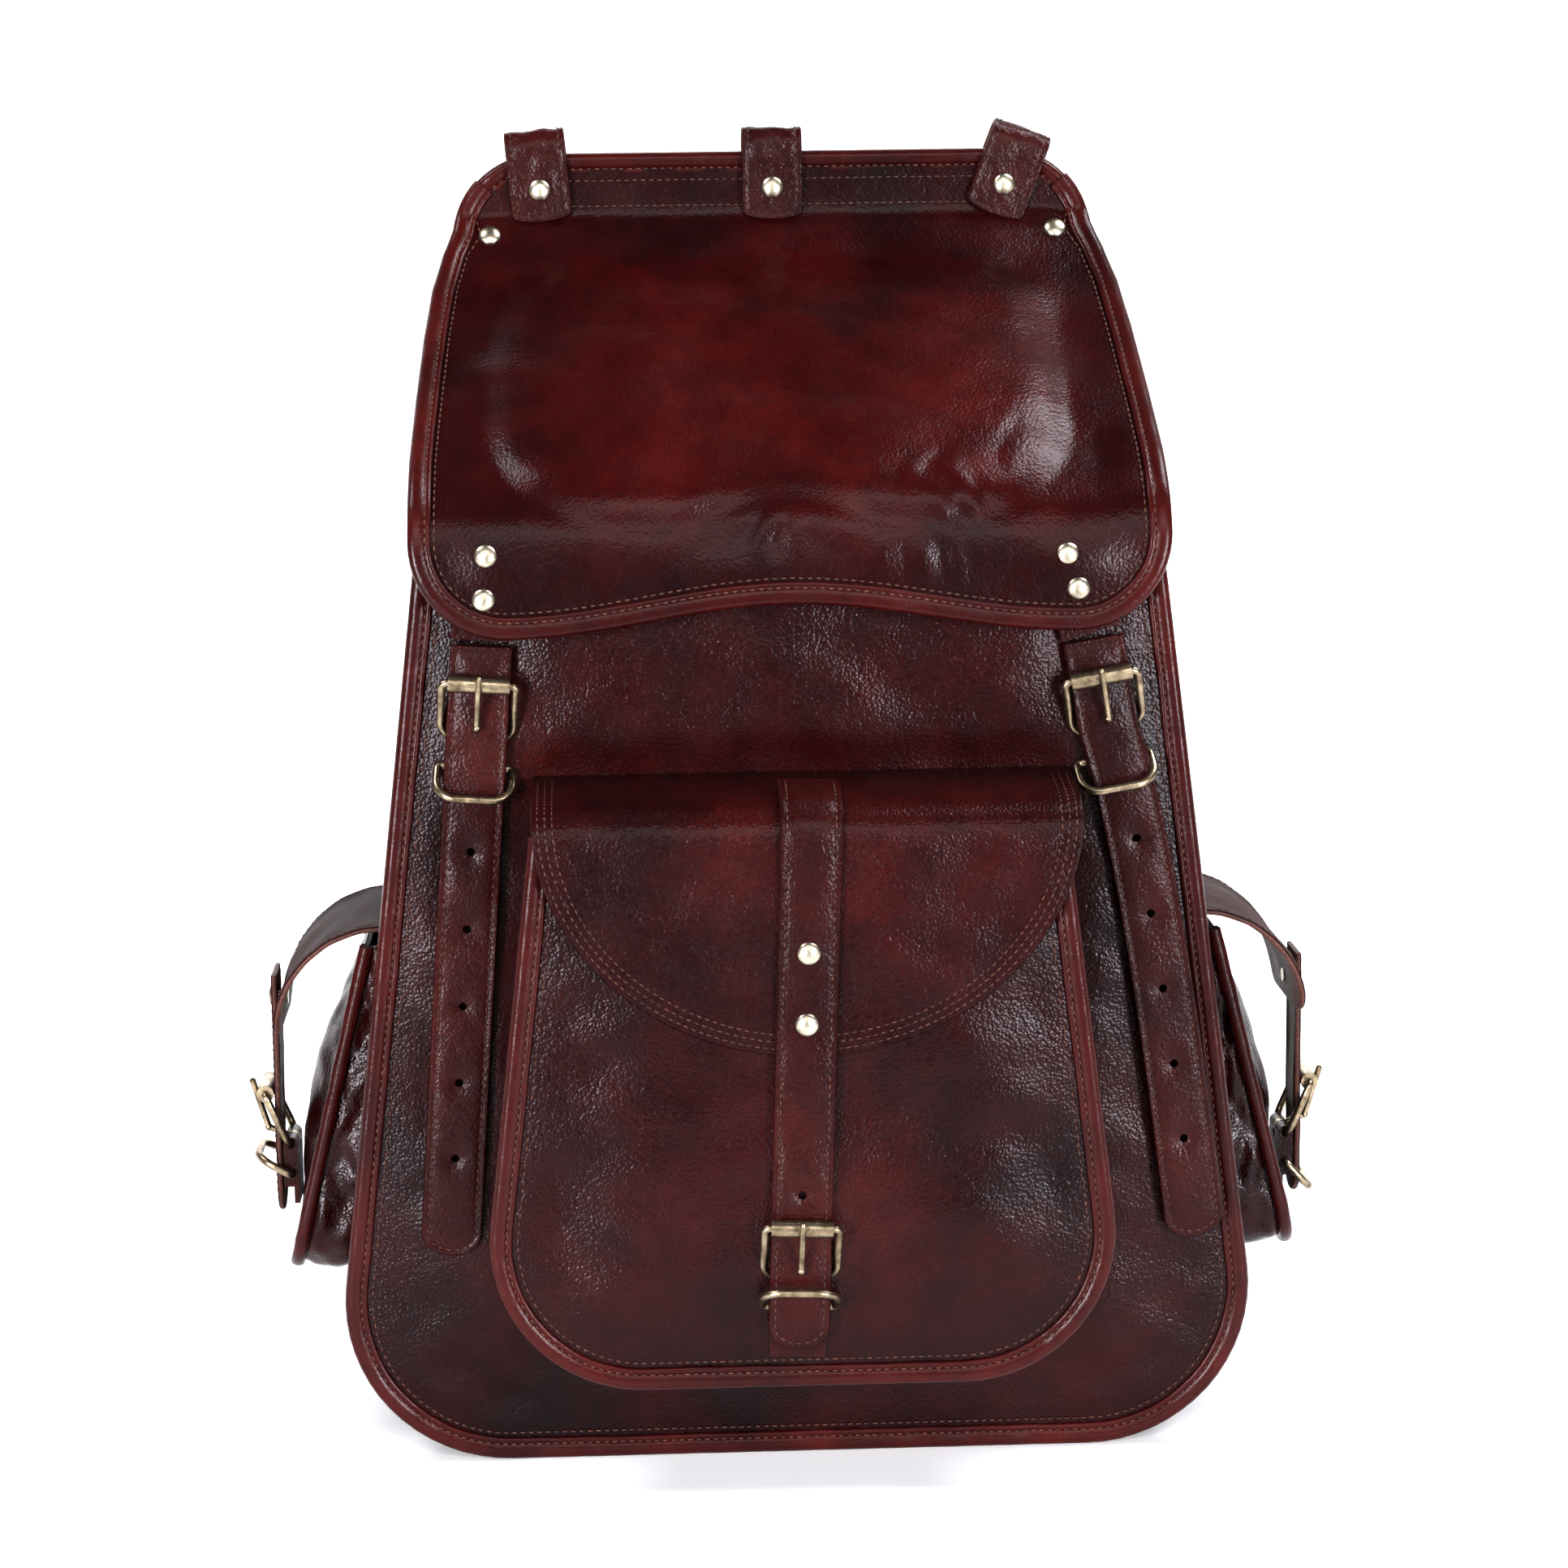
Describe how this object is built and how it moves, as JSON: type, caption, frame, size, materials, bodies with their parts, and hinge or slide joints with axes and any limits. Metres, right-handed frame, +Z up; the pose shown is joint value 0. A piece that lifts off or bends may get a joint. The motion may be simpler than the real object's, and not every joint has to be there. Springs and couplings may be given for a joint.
{
  "type": "leather backpack",
  "caption": "Tapered leather backpack: main flap on buckled straps, buckled front and side pockets, loops over the top edge, shoulder straps and haul handle.",
  "frame": {"origin": "The middle of the base, on the floor the bag stands on.", "axes": "+Z is up, the front faces -Y and +X is to the right as seen from the front, so left and right in the node names are the viewer's."},
  "size_m": [0.448, 0.2304, 0.5328],
  "materials": {
    "leather_body": "glossy hand-dyed oxblood goat leather with a pebble grain and darker mottling",
    "leather_binding": "folded oxblood leather binding, stitched, a little redder than the panels",
    "lining_canvas": "plain-weave cotton canvas",
    "antique_brass": "pale antique brass, worn bright on the rounded edges"
  },
  "bodies": {
    "bag": {"front_panel": "leather_body", "back_panel": "leather_body", "gusset": "leather_body", "front_binding": "leather_binding", "back_binding": "leather_binding", "lining": "lining_canvas", "pocket_panel": "leather_body", "pocket_gusset": "leather_body", "pocket_binding": "leather_binding", "side_pocket_panel_left": "leather_body", "side_pocket_panel_right": "leather_body", "side_pocket_gusset_left": "leather_body", "side_pocket_gusset_right": "leather_body", "side_pocket_binding_left": "leather_binding", "side_pocket_binding_right": "leather_binding", "side_loops": "leather_body", "loop_centre": "leather_body", "top_rivets": "antique_brass", "shoulder_strap_left": "leather_body", "shoulder_strap_right": "leather_body", "adjuster_strap_left": "leather_body", "adjuster_strap_right": "leather_body", "shoulder_hardware": "antique_brass", "strap_anchors": "leather_body", "handle_tabs": "leather_body"},
    "flap": {"flap": "leather_body", "flap_binding": "leather_binding", "flap_rivets": "antique_brass", "strap_roots": "leather_body"},
    "strap_left": {"strap_left": "leather_body", "strap_tab_left": "leather_body", "buckle_left": "antique_brass"},
    "strap_right": {"strap_right": "leather_body", "strap_tab_right": "leather_body", "buckle_right": "antique_brass"},
    "roller_left": {"roller_left": "antique_brass"},
    "roller_right": {"roller_right": "antique_brass"},
    "prong_left": {"prong_left": "antique_brass"},
    "prong_right": {"prong_right": "antique_brass"},
    "keeper_left": {"keeper_left": "antique_brass"},
    "keeper_right": {"keeper_right": "antique_brass"},
    "pocket_flap": {"pocket_flap": "leather_body", "pocket_strap": "leather_body", "pocket_rivets": "antique_brass", "pocket_tab": "leather_body", "pocket_buckle": "antique_brass"},
    "pocket_roller": {"pocket_roller": "antique_brass"},
    "pocket_prong": {"pocket_prong": "antique_brass"},
    "pocket_keeper": {"pocket_keeper": "antique_brass"},
    "side_flap_left": {"side_flap_left": "leather_body", "side_strap_left": "leather_body", "side_tab_left": "leather_body", "side_buckle_left": "antique_brass"},
    "side_flap_right": {"side_flap_right": "leather_body", "side_strap_right": "leather_body", "side_tab_right": "leather_body", "side_buckle_right": "antique_brass"},
    "side_keeper_left": {"side_keeper_left": "antique_brass"},
    "side_keeper_right": {"side_keeper_right": "antique_brass"},
    "haul_handle": {"haul_handle": "leather_body"}
  },
  "joints": [
    {"name": "flap_hinge", "type": "hinge", "parent": "bag", "child": "flap", "pos_m": [0, 0.057, 0.481], "axis": [-1, 0, 0], "range_deg": [0, 101]},
    {"name": "strap_left_swing", "type": "hinge", "parent": "flap", "child": "strap_left", "pos_m": [-0.12093, -0.0773, 0.3339], "axis": [-0.9972, 0, 0.075], "range_deg": [0, 60]},
    {"name": "strap_right_swing", "type": "hinge", "parent": "flap", "child": "strap_right", "pos_m": [0.1177, -0.0773, 0.33246], "axis": [-0.9854, 0, -0.1702], "range_deg": [0, 60]},
    {"name": "pocket_flap_hinge", "type": "hinge", "parent": "bag", "child": "pocket_flap", "pos_m": [0.0032, -0.069, 0.2813], "axis": [-1, 0, 0], "range_deg": [0, 70]},
    {"name": "side_flap_left_hinge", "type": "hinge", "parent": "bag", "child": "side_flap_left", "pos_m": [-0.1612, 0, 0.2167], "axis": [0, 1, 0], "range_deg": [0, 95]},
    {"name": "side_flap_right_hinge", "type": "hinge", "parent": "bag", "child": "side_flap_right", "pos_m": [0.1612, 0, 0.2167], "axis": [0, -1, 0], "range_deg": [0, 95]},
    {"name": "haul_handle_swing", "type": "hinge", "parent": "bag", "child": "haul_handle", "pos_m": [0, 0.0725, 0.49], "axis": [1, 0, 0], "range_deg": [0, 150]},
    {"name": "roller_left_spin", "type": "hinge", "parent": "strap_left", "child": "roller_left", "pos_m": [-0.12205, -0.08109, 0.3189], "axis": [0.9972, 0, -0.075], "continuous": true},
    {"name": "prong_left_lift", "type": "hinge", "parent": "strap_left", "child": "prong_left", "pos_m": [-0.1237, -0.0714, 0.297], "axis": [0.9972, 0, -0.075], "range_deg": [0, 25]},
    {"name": "roller_right_spin", "type": "hinge", "parent": "strap_right", "child": "roller_right", "pos_m": [0.12026, -0.08109, 0.31764], "axis": [0.9854, 0, 0.1702], "continuous": true},
    {"name": "prong_right_lift", "type": "hinge", "parent": "strap_right", "child": "prong_right", "pos_m": [0.124, -0.0714, 0.296], "axis": [0.9854, 0, 0.1702], "range_deg": [0, 25]},
    {"name": "pocket_roller_spin", "type": "hinge", "parent": "pocket_flap", "child": "pocket_roller", "pos_m": [-0.0012, -0.12709, 0.11094], "axis": [0.9993, 0, -0.0366], "continuous": true},
    {"name": "pocket_prong_lift", "type": "hinge", "parent": "pocket_flap", "child": "pocket_prong", "pos_m": [-0.002, -0.1174, 0.089], "axis": [0.9993, 0, -0.0366], "range_deg": [0, 25]},
    {"name": "keeper_left_swing", "type": "hinge", "parent": "strap_left", "child": "keeper_left", "pos_m": [-0.1246, -0.0714, 0.28503], "axis": [-0.9972, 0, 0.075], "range_deg": [0, 78]},
    {"name": "keeper_right_swing", "type": "hinge", "parent": "strap_right", "child": "keeper_right", "pos_m": [0.12604, -0.0714, 0.28418], "axis": [-0.9854, 0, -0.1702], "range_deg": [0, 75]},
    {"name": "pocket_keeper_swing", "type": "hinge", "parent": "pocket_flap", "child": "pocket_keeper", "pos_m": [-0.00244, -0.1174, 0.07701], "axis": [-0.9993, 0, 0.0366], "range_deg": [-95, 0]},
    {"name": "side_keeper_left_swing", "type": "hinge", "parent": "side_flap_left", "child": "side_keeper_left", "pos_m": [-0.2069, 0, 0.106], "axis": [0, 1, 0], "range_deg": [-86, 0]},
    {"name": "side_keeper_right_swing", "type": "hinge", "parent": "side_flap_right", "child": "side_keeper_right", "pos_m": [0.2069, 0, 0.101], "axis": [0, -1, 0], "range_deg": [0, 81]}
  ]
}
